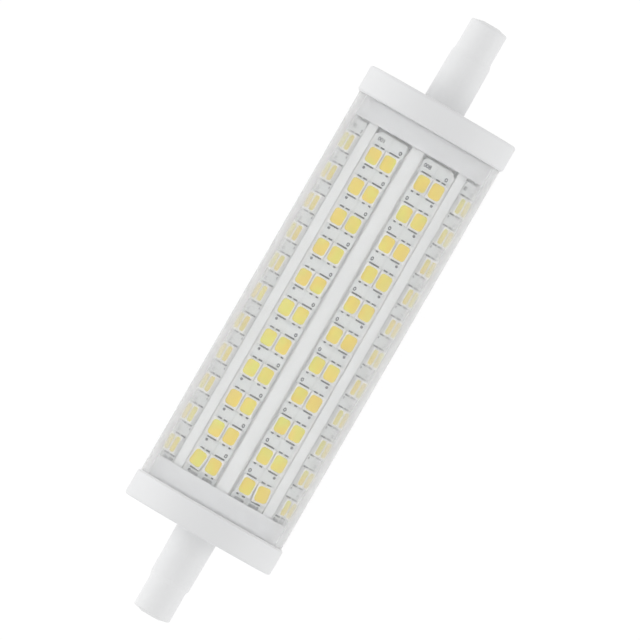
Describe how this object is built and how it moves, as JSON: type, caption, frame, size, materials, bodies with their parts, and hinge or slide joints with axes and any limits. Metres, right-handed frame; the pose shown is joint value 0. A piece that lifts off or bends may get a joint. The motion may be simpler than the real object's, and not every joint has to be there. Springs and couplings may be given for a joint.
{
  "type": "tubular bulb",
  "caption": "Straight double-ended LED lamp: clear tube with white end caps and pins, around an eight-sided core of narrow boards with rows of yellow LEDs.",
  "frame": {"origin": "middle of the lamp, on its axis", "axes": "+X along the lamp towards end a, +Z outwards through a rib of the carrier, +Y to the left when looking from above with end a up"},
  "size_m": [0.118, 0.0288, 0.0288],
  "materials": {
    "clear_tube": "clear, glossy",
    "cap_white": "white, satin",
    "carrier_white": "white, satin",
    "board_white": "white solder mask on an aluminium core",
    "case_white": "white, matt",
    "phosphor_yellow": "yellow silicone, slightly glossy",
    "contact_metal": "nickel-plated",
    "solder_grey": "bright solder",
    "driver_green": "green solder mask",
    "part_black": "black epoxy",
    "ferrite_grey": "dark ferrite",
    "winding_copper": "enamelled copper",
    "can_sleeve": "dark sleeve on an aluminium can",
    "varistor_blue": "blue coating",
    "film_yellow": "yellow case",
    "resistor_grey": "grey-green coating",
    "wire_cover": "white silicone"
  },
  "bodies": {
    "root": {"bridge_rectifier": "part_black", "bulk_capacitor": "can_sleeve", "chip_parts": "part_black", "clear_tube": "clear_tube", "control_chip": "part_black", "driver_board": "driver_green", "end_cap_a": "cap_white", "end_cap_b": "cap_white", "end_contact_a": "contact_metal", "end_contact_b": "contact_metal", "fast_diode": "part_black", "film_capacitor": "film_yellow", "filter_inductor_core": "ferrite_grey", "filter_inductor_winding": "winding_copper", "fusible_resistor": "resistor_grey", "lead_wire_a": "wire_cover", "lead_wire_b": "wire_cover", "led_board_1": "board_white", "led_board_2": "board_white", "led_board_3": "board_white", "led_board_4": "board_white", "led_board_5": "board_white", "led_board_6": "board_white", "led_board_7": "board_white", "led_board_8": "board_white", "led_carrier": "carrier_white", "led_cases_1": "case_white", "led_cases_2": "case_white", "led_cases_3": "case_white", "led_cases_4": "case_white", "led_cases_5": "case_white", "led_cases_6": "case_white", "led_cases_7": "case_white", "led_cases_8": "case_white", "link_board": "board_white", "output_wires": "wire_cover", "phosphor_1": "phosphor_yellow", "phosphor_2": "phosphor_yellow", "phosphor_3": "phosphor_yellow", "phosphor_4": "phosphor_yellow", "phosphor_5": "phosphor_yellow", "phosphor_6": "phosphor_yellow", "phosphor_7": "phosphor_yellow", "phosphor_8": "phosphor_yellow", "power_inductor_core": "ferrite_grey", "power_inductor_winding": "winding_copper", "solder_joints": "solder_grey", "varistor": "varistor_blue"}
  },
  "joints": []
}
